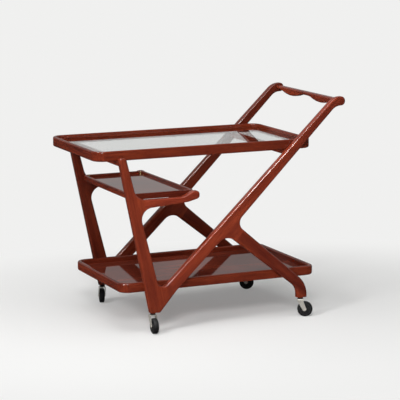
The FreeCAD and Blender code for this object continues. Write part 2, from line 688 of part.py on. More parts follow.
# Handle bar with two finger swells, tenoned into the arms
body = new_body("handle_bar")
corners = [
    ("-inner_face", "0", None),
    ("-inner_face", "-bar_depth", None),
    ("-inner_face + bar_level_length", "-bar_depth", "bar_level_curve"),
    ("-inner_face / 2", "-bar_swell_depth", "bar_swell_curve"),
    ("-bar_level_length", "-bar_depth", "bar_level_curve"),
    ("bar_level_length", "-bar_depth", "bar_level_curve"),
    ("inner_face / 2", "-bar_swell_depth", "bar_swell_curve"),
    ("inner_face - bar_level_length", "-bar_depth", "bar_level_curve"),
    ("inner_face", "-bar_depth", None),
    ("inner_face", "0", None),
]
sketch = outline(body, "handle_bar_outline", "YZ_Plane", [corner[:2] for corner in corners])
extrude(body, "handle_bar_pad", sketch, "bar_length", middle=True)
round_corners(body, "handle_bar", "YZ_Plane", corners)
reach = value("inner_face")
round_edges(body, "handle_bar_rounding", "bar_rounding",
            lambda middle, edge: abs(middle.x) > 1e-3 and abs(abs(middle.y) - reach) > 1e-3
            and abs(edge.Vertexes[0].X - edge.Vertexes[-1].X) < 1e-4)
for side, sign in SIDES.items():
    tenon = body.newObject("PartDesign::AdditiveCylinder", "handle_bar_%s_tenon" % side)
    tenon.setExpression("Radius", formula("tenon_radius"))
    tenon.setExpression("Height", formula("tenon_length"))
    place(tenon, y="(%s) * inner_face" % sign, z="-bar_depth / 2", axis=(-1, 0, 0), turn="90 * (%s)" % sign)
place(body, x="bar_x", z="bar_top")
node(body)


def slab(body, name, ends, half, inset, base, height, corner, cut=False):
    """A level slab with rounded corners, added to a body or cut out of it."""
    front, rear = "%s + %s" % (ends[0], inset), "%s - (%s)" % (ends[1], inset)
    side = "%s - (%s)" % (half, inset)
    x0, x1, y, r = value(front), value(rear), value(side), value(corner)
    sketch = new_sketch(body, name + "_outline", "XY_Plane", base)
    middles = [(x1 - r, r - y), (x1 - r, y - r), (x0 + r, y - r), (x0 + r, r - y)]
    starts = [(x0 + r, -y), (x1, r - y), (x1 - r, y), (x0, y - r)]
    ends_at = [(x1 - r, -y), (x1, y - r), (x0 + r, y), (x0, r - y)]
    for quarter in range(4):
        sketch.addGeometry(Part.LineSegment(FreeCAD.Vector(*starts[quarter], 0),
                                            FreeCAD.Vector(*ends_at[quarter], 0)), False)
        circle = Part.Circle(FreeCAD.Vector(*middles[quarter], 0), FreeCAD.Vector(0, 0, 1), r)
        turn = math.pi / 2 * (quarter - 1)
        sketch.addGeometry(Part.ArcOfCircle(circle, turn, turn + math.pi / 2), False)
    for run in range(8):
        sketch.addConstraint(Sketcher.Constraint("Tangent", run, 2, (run + 1) % 8, 1))
    for run, kind in ((0, "Horizontal"), (2, "Vertical"), (4, "Horizontal"), (6, "Vertical")):
        sketch.addConstraint(Sketcher.Constraint(kind, run))
    dimension(sketch, "DistanceY", 0, -y, "-(%s)" % side)
    dimension(sketch, "DistanceX", 2, x1, rear)
    dimension(sketch, "DistanceY", 4, y, side)
    dimension(sketch, "DistanceX", 6, x0, front)
    dimension(sketch, "Radius", 1, r, corner)
    for curve in (3, 5, 7):
        sketch.addConstraint(Sketcher.Constraint("Equal", 1, curve))
    extrude(body, name, sketch, height, cut=cut, reverse=cut)


def mitred_rails(prefix, rim, ends, half, base, reach):
    """Cut a rim into four rails that meet at 45 degrees in its corners."""
    front, rear = ends
    past = "%s + overrun" % half
    near = "%s - (%s)" % (half, reach)
    outer = [(front + " - overrun", "-(%s)" % past), (rear + " + overrun", "-(%s)" % past),
             (rear + " + overrun", past), (front + " - overrun", past)]
    inner = [("%s + %s" % (front, reach), "-(%s)" % near), ("%s - (%s)" % (rear, reach), "-(%s)" % near),
             ("%s - (%s)" % (rear, reach), near), ("%s + %s" % (front, reach), near)]
    wedges = {
        "front": [outer[0], inner[0], inner[3], outer[3]],
        "rear": [outer[2], inner[2], inner[1], outer[1]],
        "left": [outer[1], inner[1], inner[0], outer[0]],
        "right": [outer[3], inner[3], inner[2], outer[2]],
    }
    for end, corners in wedges.items():
        wedge = new_body("%s_%s_wedge" % (prefix, end))
        sketch = outline(wedge, wedge.Name + "_outline", "XY_Plane", corners, "-overrun")
        extrude(wedge, wedge.Name + "_pad", sketch, "upper_rim_depth + lower_rim_depth")
        place(wedge, z=base)
        rail = doc.addObject("Part::Common", "%s_%s_rail" % (prefix, end))
        rail.Label = rail.Name
        rail.Base = rim
        rail.Tool = wedge
        node(rail)


def at_level(height):
    """A test for the edges that lie level at a height."""
    level = value(height)
    return lambda middle, edge: all(abs(point.z - level) < CLOSE
                                    for point in [middle] + [vertex.Point for vertex in edge.Vertexes])


def at_outside(height, ends, half, wall):
    """A test for the level edges at a height that lie on the outside of a rim."""
    level, near = at_level(height), value(wall) * 0.9
    front, rear, side = value(ends[0]), value(ends[1]), value(half)
    return lambda middle, edge: level(middle, edge) and (
        abs(middle.y) > side - near or middle.x < front + near or middle.x > rear - near)


# Upper tray: a glass pane on a lip inside four mitred rails; it lifts off the cross rails
UPPER = ("upper_tray_front_x", "upper_rear_x")
rim = new_body("upper_tray_rim")
slab(rim, "upper_block", UPPER, "upper_half", "0", "0", "upper_rim_depth", "upper_tray_corner")
slab(rim, "upper_view", UPPER, "upper_half", "lip_inset", "-overrun", "upper_rim_depth + 2 * overrun",
     "upper_tray_corner - lip_inset", cut=True)
slab(rim, "upper_well", UPPER, "upper_half", "upper_rim_width", "glass_seat", "upper_rim_depth",
     "upper_tray_corner - upper_rim_width", cut=True)
round_edges(rim, "upper_rim_edges", "upper_rim_rounding", at_level("upper_rim_depth"))
round_edges(rim, "upper_base_edges", "upper_base_rounding", at_level("0"))
place(rim, z="upper_tray_base")
mitred_rails("upper_tray", rim, UPPER, "upper_half", "upper_tray_base", "upper_tray_corner + lip_inset")

pane = new_body("glass_pane")
slab(pane, "glass_sheet", UPPER, "upper_half", "glass_inset", "0", "glass_thickness",
     "upper_tray_corner - glass_inset")
place(pane, z="upper_tray_base + glass_seat")
node(pane)

# Shelf between the brackets, with its panel in a groove all round
SHELF = ("shelf_front_x", "shelf_rear_x")
rim = new_body("shelf_rim")
slab(rim, "shelf_block", SHELF, "inner_face", "0", "0", "shelf_rim_depth", "shelf_corner")
slab(rim, "shelf_well", SHELF, "inner_face", "shelf_rim_width", "-overrun", "shelf_rim_depth + 2 * overrun",
     "shelf_inner_corner", cut=True)
slab(rim, "shelf_groove_cut", SHELF, "inner_face", "shelf_rim_width - panel_tongue - panel_gap",
     "shelf_panel_rise", "panel_thickness", "shelf_inner_corner", cut=True)
round_edges(rim, "shelf_rim_edges", "shelf_rim_rounding", at_level("shelf_rim_depth"))
round_edges(rim, "shelf_base_edges", "shelf_base_rounding", at_outside("0", SHELF, "inner_face",
                                                                       "shelf_rim_width - panel_tongue"))
place(rim, z="shelf_base")
for count, (x, z) in enumerate(SHELF_SCREWS, start=1):
    for side, sign in SIDES.items():
        bore(rim, "shelf_%s_screw_hole_%d" % (side, count),
             "screw_radius + screw_clearance", "shelf_rim_width",
             x=x, y="(%s) * (inner_face - shelf_rim_width)" % sign, z="%s - shelf_base" % z,
             axis=(-1, 0, 0), turn="90 * (%s)" % sign)
mitred_rails("shelf", rim, SHELF, "inner_face", "shelf_base", "shelf_corner + shelf_rim_width")

panel = new_body("shelf_panel")
slab(panel, "shelf_sheet", SHELF, "inner_face", "shelf_rim_width - panel_tongue", "0", "panel_thickness",
     "shelf_inner_corner")
place(panel, z="shelf_base + shelf_panel_rise")
node(panel)

# Lower tray, with its panel in a groove all round
LOWER = ("lower_tray_front_x", "lower_rear_x")
rim = new_body("lower_tray_rim")
slab(rim, "lower_block", LOWER, "inner_face", "0", "0", "lower_rim_depth", "lower_tray_corner")
slab(rim, "lower_well", LOWER, "inner_face", "lower_rim_width", "-overrun", "lower_rim_depth + 2 * overrun",
     "lower_tray_corner - lower_rim_width", cut=True)
slab(rim, "lower_groove_cut", LOWER, "inner_face",
     "lower_rim_width - panel_tongue - panel_gap", "lower_groove",
     "panel_thickness", "lower_tray_corner - lower_rim_width + panel_tongue", cut=True)
round_edges(rim, "lower_rim_edges", "lower_rim_rounding", at_level("lower_rim_depth"))
round_edges(rim, "lower_base_edges", "lower_base_rounding",
            at_outside("0", LOWER, "inner_face", "lower_rim_width"))
place(rim, z="lower_tray_base")
for count, (x, z) in enumerate(LOWER_SCREWS, start=1):
    for side, sign in SIDES.items():
        bore(rim, "lower_%s_screw_hole_%d" % (side, count),
             "screw_radius + screw_clearance", "lower_rim_width",
             x=x, y="(%s) * (inner_face - lower_rim_width)" % sign, z="%s - lower_tray_base" % z,
             axis=(-1, 0, 0), turn="90 * (%s)" % sign)
mitred_rails("lower_tray", rim, LOWER, "inner_face", "lower_tray_base", "lower_tray_corner + lower_rim_width")

panel = new_body("lower_tray_panel")
slab(panel, "lower_sheet", LOWER, "inner_face", "lower_rim_width - panel_tongue", "0", "panel_thickness",
     "lower_tray_corner - lower_rim_width + panel_tongue")
place(panel, z="lower_tray_base + lower_groove")
node(panel)

# Screws, driven outward from inside the trays
for prefix, places, wall in (("shelf", SHELF_SCREWS, "shelf_rim_width"),
                             ("lower_tray", LOWER_SCREWS, "lower_rim_width")):
    screws = []
    for side, sign in SIDES.items():
        for count, (x, z) in enumerate(places, start=1):
            screw = turned("%s_%s_screw_%d" % (prefix, side, count), [
                ("0", "-screw_head_depth"),
                ("screw_head_radius", "-screw_head_depth"),
                ("screw_head_radius", "0"),
                ("screw_radius", "0"),
                ("screw_radius", "%s + screw_reach - screw_point" % wall),
                ("0", "%s + screw_reach" % wall),
            ], "XZ_Plane", "V_Axis")
            place(screw, x=x, y="(%s) * (inner_face - %s)" % (sign, wall), z=z,
                  axis=(-1, 0, 0), turn="90 * (%s)" % sign)
            screws.append(screw)
    node(group(prefix + "_screws", screws))

# Casters
CORNERS = {
    "front_left": ("front_stem_x", "-1"),
    "front_right": ("front_stem_x", "1"),
    "rear_left": ("rear_stem_x", "-1"),
    "rear_right": ("rear_stem_x", "1"),
}
sockets = []
for corner, (x, sign) in CORNERS.items():
    y = "(%s) * half_spacing" % sign
    turn = corner + "_turn"
    socket = turned(corner + "_socket", [
        ("stem_radius + stem_clearance", "-socket_cap_depth"),
        ("socket_cap_radius", "-socket_cap_depth"),
        ("socket_cap_radius", "0"),
        ("socket_radius", "0"),
        ("socket_radius", "socket_depth"),
        ("0", "socket_depth"),
        ("0", "socket_depth - socket_wall"),
        ("stem_radius + stem_clearance", "socket_depth - socket_wall"),
    ], "XZ_Plane", "V_Axis")
    place(socket, x=x, y=y, z="foot_height")
    sockets.append(socket)

    fork = new_body(corner + "_fork")
    corners = [
        ("-fork_head_length / 2", "crown_top", None),
        ("-fork_head_length / 2", "crown_top - fork_head_depth", "fork_head_depth"),
        ("wheel_trail - fork_eye_radius", "wheel_radius - fork_eye_radius", "fork_eye_radius"),
        ("wheel_trail + fork_eye_radius", "wheel_radius - fork_eye_radius", "fork_eye_radius"),
        ("fork_head_length / 2", "crown_top - fork_head_depth", "fork_head_length"),
        ("fork_head_length / 2", "crown_top", None),
    ]
    sketch = outline(fork, fork.Name + "_outline", "XZ_Plane", [places[:2] for places in corners])
    extrude(fork, fork.Name + "_pad", sketch, "fork_width", middle=True)
    round_corners(fork, fork.Name, "XZ_Plane", corners)
    top = value("crown_top")
    round_edges(fork, fork.Name + "_bends", "fork_corner",
                lambda middle, edge: abs(middle.z - top) < 1e-4
                and abs(edge.tangentAt(edge.FirstParameter).x) > 0.9)
    slot = outline(fork, fork.Name + "_slot_outline", "XZ_Plane", [
        ("-fork_head_length", "-overrun"),
        ("wheel_trail + fork_head_length", "-overrun"),
        ("wheel_trail + fork_head_length", "crown_under"),
        ("-fork_head_length", "crown_under"),
    ])
    extrude(fork, fork.Name + "_slot", slot, "fork_inside", cut=True, middle=True)
    bore(fork, fork.Name + "_stem_hole", "stem_radius + stem_clearance", "fork_crown_thickness",
         z="crown_under")
    bore(fork, fork.Name + "_axle_hole", "axle_radius", "fork_width", x="wheel_trail",
         y="-fork_width / 2", z="wheel_radius", axis=(-1, 0, 0), turn="90")
    place(fork, x=x, y=y, turn=turn)
    node(fork)

    stem = turned(corner + "_stem", [
        ("0", "crown_under - stem_head_depth"),
        ("stem_head_radius", "crown_under - stem_head_depth"),
        ("stem_head_radius", "crown_under"),
        ("stem_radius", "crown_under"),
        ("stem_radius", "stem_top - stem_point"),
        ("stem_radius - stem_point", "stem_top"),
        ("0", "stem_top"),
    ], "XZ_Plane", "V_Axis")
    place(stem, x=x, y=y)
    node(stem)

    hub = {"x": "%s + wheel_trail * cos(%s * 1 deg)" % (x, turn),
           "y": "%s + wheel_trail * sin(%s * 1 deg)" % (y, turn), "z": "wheel_radius", "turn": turn}
    axle = turned(corner + "_axle", [
        ("-fork_width / 2 - axle_head_depth", "0"),
        ("-fork_width / 2 - axle_head_depth", "axle_head_radius"),
        ("-fork_width / 2", "axle_head_radius"),
        ("-fork_width / 2", "axle_radius"),
        ("fork_width / 2", "axle_radius"),
        ("fork_width / 2", "axle_head_radius"),
        ("fork_width / 2 + axle_head_depth", "axle_head_radius"),
        ("fork_width / 2 + axle_head_depth", "0"),
    ], "YZ_Plane", "H_Axis")
    place(axle, **hub)
    node(axle)

    core = turned(corner + "_wheel_core", [
        ("-wheel_width / 2 - hub_proud", "axle_radius + axle_clearance"),
        ("-wheel_width / 2 - hub_proud", "hub_radius"),
        ("-wheel_width / 2 + web_recess", "hub_radius"),
        ("-wheel_width / 2 + web_recess", "core_radius - core_rim_depth"),
        ("-wheel_width / 2", "core_radius - core_rim_depth"),
        ("-wheel_width / 2", "core_radius"),
        ("wheel_width / 2", "core_radius"),
        ("wheel_width / 2", "core_radius - core_rim_depth"),
        ("wheel_width / 2 - web_recess", "core_radius - core_rim_depth"),
        ("wheel_width / 2 - web_recess", "hub_radius"),
        ("wheel_width / 2 + hub_proud", "hub_radius"),
        ("wheel_width / 2 + hub_proud", "axle_radius + axle_clearance"),
    ], "YZ_Plane", "H_Axis")
    place(core, **hub)
    node(core)

    tyre = turned(corner + "_tyre", [
        ("-wheel_width / 2", "core_radius"),
        ("-wheel_width / 2", "wheel_radius"),
        ("wheel_width / 2", "wheel_radius"),
        ("wheel_width / 2", "core_radius"),
    ], "YZ_Plane", "H_Axis")
    outside = value("wheel_radius")
    round_edges(tyre, tyre.Name + "_rounding", "tyre_rounding",
                lambda middle, edge: abs(math.hypot(middle.x, middle.z) - outside) < CLOSE
                and len(edge.Vertexes) == 1)
    place(tyre, **hub)
    node(tyre)
node(group("caster_sockets", sockets))

doc.recompute()

for thing in doc.Objects:
    if "Invalid" in thing.State or "Error" in thing.State:
        raise RuntimeError("%s is %s" % (thing.Name, thing.State))
for thing in NODES:
    shape = thing.Shape
    if shape.isNull() or not shape.isValid() or not shape.Solids:
        raise RuntimeError("%s has no valid solid" % thing.Label)

os.makedirs("parts", exist_ok=True)
for thing in NODES:
    thing.Shape.exportStep("parts/%s.step" % thing.Label)
    print("%-28s %2d solids %12.0f mm3" % (thing.Label, len(thing.Shape.Solids), thing.Shape.Volume))
print("%d nodes" % len(NODES))
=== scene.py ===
import math

import bmesh
import bpy
from bpy.props import FloatProperty, FloatVectorProperty, IntProperty, PointerProperty
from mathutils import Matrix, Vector


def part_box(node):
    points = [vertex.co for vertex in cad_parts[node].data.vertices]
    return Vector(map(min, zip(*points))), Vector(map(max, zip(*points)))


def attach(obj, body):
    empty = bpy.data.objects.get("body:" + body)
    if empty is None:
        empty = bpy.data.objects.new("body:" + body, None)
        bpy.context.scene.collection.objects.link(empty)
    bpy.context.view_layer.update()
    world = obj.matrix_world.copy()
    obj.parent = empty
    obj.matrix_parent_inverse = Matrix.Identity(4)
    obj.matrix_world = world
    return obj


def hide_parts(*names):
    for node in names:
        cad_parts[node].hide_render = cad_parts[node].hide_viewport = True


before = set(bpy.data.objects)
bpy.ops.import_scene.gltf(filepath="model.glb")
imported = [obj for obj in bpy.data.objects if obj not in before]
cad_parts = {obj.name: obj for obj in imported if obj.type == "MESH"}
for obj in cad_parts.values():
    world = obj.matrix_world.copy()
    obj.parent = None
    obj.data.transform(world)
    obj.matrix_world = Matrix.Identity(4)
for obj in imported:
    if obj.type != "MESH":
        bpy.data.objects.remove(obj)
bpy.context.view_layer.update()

bl_info = {
    "name": "Serving Trolley",
    "version": (1, 0, 0),
    "blender": (4, 5, 0),
    "location": "View3D > Sidebar > Trolley",
    "description": "Finishes, caster wheels, floor, lamps and camera of a wooden serving trolley",
    "category": "Object",
}

CORNERS = ("front_left", "front_right", "rear_left", "rear_right")
SIDES = ("left", "right")
TRAYS = ("upper_tray", "shelf", "lower_tray")
RIM_RAILS = ("front", "rear", "left", "right")

# Each board of a side frame: the direction of its grain in degrees, the seed of its figure and its paleness.
# The paleness is painted light: it makes the shelf brackets and the handle arms paler than the legs
BOARDS = {
    "front_leg": (102.0, 1.0, 1.0),
    "shelf_bracket": (3.0, 2.1, 1.45),
    "handle_arm": (43.9, 3.3, 1.22),
    "rear_leg": (-39.0, 4.6, 1.0),
}
# Painted shade: the far side frame's boards are darkened, as less light reaches it
SIDE_PAINTED_SHADE = {"left": 1.0, "right": 0.62}
RIM_PALENESS = 0.8
# Each panel: its paleness and the strength of its lacquer
PANELS = {"shelf_panel": (1.0, 0.95), "lower_tray_panel": (1.3, 0.62)}
# The turn that lays the grain along Y
ACROSS = math.radians(-90)
# Spacing of the rings on the rims and the panels, beside that on the boards
RIM_RING_SHARE = 0.8
PANEL_RING_SHARE = 1.6

# Scales of the wood's patterns along and across the grain: how many marks lie in a metre
FIGURE_SCALE = (1.9, 15, 15)
FIBRE_SCALE = (7, 330, 330)
STREAK_SCALE = (2.6, 95, 95)
PORE_SCALE = (52, 1500, 1500)
CLOUD_SCALE = 3.1
RING_STRETCH = (0.16, 1, 1)
# Distance between two bands of a wave texture whose scale is 1
WAVE_SPACING = 0.314
# How much each pattern shows in the wood's colour
RING_SHARE = 0.34
STREAK_SHARE = 0.46
FIBRE_SHARE = 0.30
PORE_SHARE = 0.55
CLOUD_SHARE = 0.26

LACQUER_IOR = 1.5
GLASS_IOR = 1.5
# What the pane leaves of the light that falls through it
PASSED_LIGHT = (0.86, 0.88, 0.87)
# Rust and dirt in specks on the metal, and dust on the wheels
SPECK_TONE = (0.10, 0.075, 0.05)
WORN_RUBBER = (0.035, 0.033, 0.032)
WORN_PLASTIC = (0.05, 0.05, 0.05)

# Steps of a tyre's side, from its shoulder inwards: how wide each is and how far it rises, in metres
TYRE_STEPS = ((0.0009, 0.0), (0.0005, -0.0005))
# Steps of a wheel centre's side: a rounded edge, a rim, a slope, the web and a ring on the web
RIM_STEPS = ((0.0004, 0.0003), (0.0022, 0.0), (0.0006, -0.0024), (0.0050, -0.0003),
             (0.0005, 0.0008), (0.0012, 0.0), (0.0005, -0.0008))
# The hub: its edge, the steps of its raised end and the hole round the axle
HUB_RADIUS = 0.0062
HUB_STEPS = ((0.0004, 0.0034), (0.0012, 0.0003))
AXLE_HOLE_RADIUS = 0.00305
# No step is narrower than this
LEAST_STEP = 0.0002
# The rounding of a tyre's shoulder has this many facets
SHOULDER_FACETS = 6

# A side face of a wheel looks along Y at least this much and has more corners than this
FLAT = 0.99
MANY_CORNERS = 12
# How near two places must be to count as one, in metres
NEAR = 1e-5
MERGE_DISTANCE = 1e-6

# Lamps: where each stands, or how high in degrees and how far off, the height it faces, and its width
SOFT_LAMP = {"where": (-0.45, -0.6, 3.25), "facing": 0.2, "width": 2.2}
FILL_LAMP = {"where": (-2.6, -3.4, 1.7), "facing": 0.35, "width": 2.4}
KEY_LAMP = {"rise": 32.0, "away": 5.6, "facing": 0.2, "width": 1.3}
GLINT_LAMP = {"rise": 43.0, "away": 4.2, "facing": 0.45, "width": 0.7}
# The way from the trolley to the lamps that come in pairs, in degrees
PAIR_TURNS = {"left": 203.0, "right": 243.0}
SKY_TONE = (1.0, 0.99, 0.975)
# The room turns from grey to dim between these shares of the way to the camera's side
ROOM_EDGE_START = -0.15
ROOM_EDGE_END = 0.25

# The floor's side in metres and its squares along a side
FLOOR_SIZE = 120
FLOOR_SQUARES = 12
# The floor fades into the backdrop between these distances, which count for less along X
FADE_START = 0.42
FADE_END = 1.25
FADE_STRETCH = (0.72, 1, 1)

# The camera's sensor in millimetres, and how far it sees in metres
SENSOR_WIDTH = 36.0
VIEW_REACH = 200.0


# Settings


class TrolleyColours(bpy.types.PropertyGroup):
    """The colours that a user may change."""

    wood_light: FloatVectorProperty(
        name="Wood, light", description="Early wood of the frame and the rims under its stain",
        subtype="COLOR", size=3, min=0, max=1, default=(0.262, 0.0405, 0.0150))
    wood_dark: FloatVectorProperty(
        name="Wood, dark", description="Late wood and streaks of the frame and the rims under their stain",
        subtype="COLOR", size=3, min=0, max=1, default=(0.077, 0.0102, 0.0060))
    panel_light: FloatVectorProperty(
        name="Panel, light", description="Light stripe of the veneer on the shelf and the lower tray",
        subtype="COLOR", size=3, min=0, max=1, default=(0.185, 0.034, 0.017))
    panel_dark: FloatVectorProperty(
        name="Panel, dark", description="Dark stripe of the veneer on the shelf and the lower tray",
        subtype="COLOR", size=3, min=0, max=1, default=(0.060, 0.010, 0.007))
    dowel_light: FloatVectorProperty(
        name="Dowel, light", description="Early wood of the bare dowels",
        subtype="COLOR", size=3, min=0, max=1, default=(0.52, 0.34, 0.19))
    dowel_dark: FloatVectorProperty(
        name="Dowel, dark", description="Late wood of the bare dowels",
        subtype="COLOR", size=3, min=0, max=1, default=(0.34, 0.20, 0.10))
    glass_tint: FloatVectorProperty(
        name="Glass", description="Tint of the glass pane",
        subtype="COLOR", size=3, min=0, max=1, default=(0.87, 0.885, 0.875))
    nickel: FloatVectorProperty(
        name="Nickel", description="Plated steel of the forks, stems and axles",
        subtype="COLOR", size=3, min=0, max=1, default=(0.56, 0.53, 0.48))
    brass: FloatVectorProperty(
        name="Brass", description="Dull brass of the screws",
        subtype="COLOR", size=3, min=0, max=1, default=(0.40, 0.30, 0.14))
    plastic: FloatVectorProperty(
        name="Wheel plastic", description="Moulded plastic of the wheel centres",
        subtype="COLOR", size=3, min=0, max=1, default=(0.016, 0.015, 0.016))
    rubber: FloatVectorProperty(
        name="Tyre rubber", description="Rubber of the tyres",
        subtype="COLOR", size=3, min=0, max=1, default=(0.007, 0.007, 0.008))
    floor: FloatVectorProperty(
        name="Floor", description="Floor and backdrop",
        subtype="COLOR", size=3, min=0, max=1, default=(0.872, 0.872, 0.864))


class TrolleySizes(bpy.types.PropertyGroup):
    """The sizes of the details that a user may change."""

    tread_groove_width: FloatProperty(
        name="Tread groove width", description="Width of the groove round the middle of a tyre",
        default=0.0016, min=0, unit="LENGTH")
    tread_groove_depth: FloatProperty(
        name="Tread groove depth", description="Depth of the groove round the middle of a tyre",
        default=0.0006, min=0, unit="LENGTH")
    tyre_shoulder: FloatProperty(
        name="Tyre shoulder", description="Rounding of a tyre's outer edges",
        default=0.004, min=0, unit="LENGTH")
    round_steps: IntProperty(
        name="Round steps", description="Sides of a turned piece", default=72, min=24, max=160)
    grain_spacing: FloatProperty(
        name="Grain spacing", description="Distance between two rings of the wood",
        default=0.0065, min=0.001, unit="LENGTH")


class TrolleyStage(bpy.types.PropertyGroup):
    """Camera, lamps and floor."""

    lens: FloatProperty(
        name="Lens", description="Focal length of the camera", default=161.2, min=1, unit="CAMERA")
    camera_turn: FloatProperty(
        name="Camera turn", description="Turn of the camera round the trolley",
        default=math.radians(-24.547), subtype="ANGLE")
    camera_height: FloatProperty(
        name="Camera angle", description="Angle of the camera above the horizon",
        default=math.radians(10.15), subtype="ANGLE")
    camera_distance: FloatProperty(
        name="Camera distance", description="Distance from the camera to the point it looks at",
        default=6.54735, min=0.1, unit="LENGTH")
    aim: FloatVectorProperty(
        name="Aim", description="The point that the camera looks at", size=3, subtype="TRANSLATION",
        default=(0.01826, 0.0, 0.41107))
    sky: FloatProperty(
        name="Sky", description="Strength of the light that comes from all round", default=0.11, min=0)
    soft_lamp: FloatProperty(
        name="Soft lamp", description="Power of the large lamp above",
        default=44.0, min=0, subtype="POWER")
    fill_lamp: FloatProperty(
        name="Fill lamp", description="Power of the large lamp in front, which no surface mirrors",
        default=17.0, min=0, subtype="POWER")
    key_lamp: FloatProperty(
        name="Key lamps", description="Power of the two lamps at the left together, which no surface mirrors",
        default=256.0, min=0, subtype="POWER")
    glint_lamp: FloatProperty(
        name="Glint lamps", description="Power of the two lamps together that only show as glints on gloss",
        default=330.0, min=0, subtype="POWER")
    shadow_lift: FloatProperty(
        name="Shadow lift", description="How much of the floor's own paleness shows in the shadow",
        default=0.27, min=0, max=1)
    grey_room: FloatProperty(
        name="Grey room", description="Brightness of the room behind, as glossy surfaces mirror it",
        default=0.6, min=0)
    dim_room: FloatProperty(
        name="Dim room", description="Brightness of the floor and the room in front, as gloss mirrors them",
        default=0.06, min=0)


# Materials


def shaded(tone, share):
    """A colour made darker or paler."""
    return [min(1.0, share * channel) for channel in tone]


class Nodes:
    """A cleared node tree and a short way to add and join its nodes."""

    def __init__(self, tree):
        self.tree = tree
        self.tree.nodes.clear()

    def add(self, kind, inputs=None, **settings):
        """A node with its settings; each input is a number, a colour or another node's socket."""
        node = self.tree.nodes.new("ShaderNode" + kind)
        for key, setting in settings.items():
            setattr(node, key, setting)
        for key, entry in (inputs or {}).items():
            socket = node.inputs[key]
            if isinstance(entry, bpy.types.NodeSocket):
                self.tree.links.new(entry, socket)
            elif socket.type == "RGBA" and len(entry) == 3:
                socket.default_value = (*entry, 1.0)
            else:
                socket.default_value = entry
        return node

    def place(self, turn=(0, 0, 0), shift=(0, 0, 0)):
        """Object coordinates, turned so that the grain runs along X."""
        where = self.add("TexCoord").outputs["Object"]
        return self.add("Mapping", {"Vector": where, "Location": shift, "Rotation": turn}).outputs[0]

    def stretched(self, where, scale):
        """The same place with a scale for each axis."""
        return self.add("Mapping", {"Vector": where, "Scale": scale}).outputs[0]

    def noise(self, where, scale, detail=2.0, roughness=0.5, distortion=0.0):
        """A noise pattern; its scale, one number or one for each axis, says how many marks lie in a metre."""
        if not isinstance(scale, (int, float)):
            where, scale = self.stretched(where, scale), 1.0
        return self.add("TexNoise", {
            "Vector": where, "Scale": scale, "Detail": detail, "Roughness": roughness,
            "Distortion": distortion}).outputs[0]

    def span(self, entry, low, high, start=0.0, end=1.0):
        """A pattern's values from start to end, spread from low to high."""
        return self.add("MapRange", {
            "Value": entry, "From Min": start, "From Max": end, "To Min": low, "To Max": high}).outputs[0]

    def smooth(self, entry, start, end):
        """A soft step from 0 to 1."""
        return self.add("MapRange", {"Value": entry, "From Min": start, "From Max": end},
                        interpolation_type="SMOOTHSTEP").outputs[0]

    def sum(self, first, second, kind="ADD"):
        """Two values added, or joined by another kind of sum."""
        return self.add("Math", {0: first, 1: second}, operation=kind).outputs[0]

    def most(self, *entries):
        """The largest of some values."""
        whole = entries[0]
        for entry in entries[1:]:
            whole = self.sum(whole, entry, "MAXIMUM")
        return whole

    def blend(self, share, first, second):
        """Two colours mixed by a share; a Mix node's sockets for colours are found by number."""
        return self.add("Mix", {0: share, 6: first, 7: second}, data_type="RGBA").outputs[2]

    def bump(self, height, distance, strength):
        """A pattern's relief in metres, as a normal."""
        return self.add("Bump", {"Height": height, "Distance": distance, "Strength": strength}).outputs[0]

    def join(self, share, first, second):
        """Two shaders mixed by a share."""
        return self.add("MixShader", {0: share, 1: first.outputs[0], 2: second.outputs[0]})


class Finish(Nodes):
    """A new material."""

    def __init__(self, name):
        self.material = bpy.data.materials.new(name)
        self.material.use_nodes = True
        super().__init__(self.material.node_tree)

    def close(self, shader):
        """Ends the material with a shader."""
        self.add("OutputMaterial", {0: shader.outputs[0]})
        return self.material

    def surface(self, inputs):
        """Ends the material with one layered surface."""
        return self.close(self.add("BsdfPrincipled", inputs))


def stained_wood(name, light, dark, ring, turn=(0, 0, 0), shift=(0, 0, 0), rough=0.40, coat=0.7,
                 coat_rough=0.15, contrast=1.3, relief=0.6):
    """Stained and lacquered wood, its grain along the turned X axis; a shift gives it its own figure."""
    finish = Finish(name)
    where = finish.place(turn, shift)
    figure = finish.noise(where, FIGURE_SCALE, detail=3, roughness=0.55, distortion=0.5)
    fibre = finish.noise(where, FIBRE_SCALE, detail=3, roughness=0.6)
    streak = finish.noise(where, STREAK_SCALE, roughness=0.55, distortion=0.2)
    pores = finish.noise(where, PORE_SCALE, detail=1)
    cloud = finish.noise(where, CLOUD_SCALE)
    rings = finish.add("TexWave", {
        "Vector": finish.stretched(where, RING_STRETCH), "Scale": WAVE_SPACING / ring, "Distortion": 5.5,
        "Detail": 2.0, "Detail Scale": 0.5, "Detail Roughness": 0.6}, bands_direction="Y").outputs[1]
    pore = finish.span(pores, 0.0, 1.0, start=0.60, end=0.70)
    body = finish.blend(finish.span(figure, 0.0, 1.0, start=0.30, end=0.70), dark, light)
    body = finish.blend(finish.span(rings, 0.0, RING_SHARE * contrast, start=0.25), body, dark)
    body = finish.blend(finish.span(streak, 0.0, STREAK_SHARE * contrast, start=0.42, end=0.72), body, dark)
    body = finish.blend(finish.span(fibre, 0.0, FIBRE_SHARE * contrast, start=0.45, end=0.78), body, light)
    body = finish.blend(finish.span(pore, 0.0, PORE_SHARE * contrast), body, shaded(dark, 0.35))
    body = finish.blend(finish.span(cloud, 0.0, CLOUD_SHARE, start=0.40, end=0.75), body, shaded(light, 1.12))
    sheen = finish.sum(finish.span(fibre, rough - 0.05, rough + 0.08), finish.span(cloud, -0.04, 0.05))
    height = finish.sum(finish.span(fibre, 0.0, 0.5), finish.span(pore, 0.0, -0.8))
    return finish.surface({
        "Base Color": body, "Roughness": sheen, "Specular IOR Level": 0.0,
        "Normal": finish.bump(height, distance=0.00012, strength=relief),
        "Coat Weight": coat, "Coat Roughness": coat_rough, "Coat IOR": LACQUER_IOR})


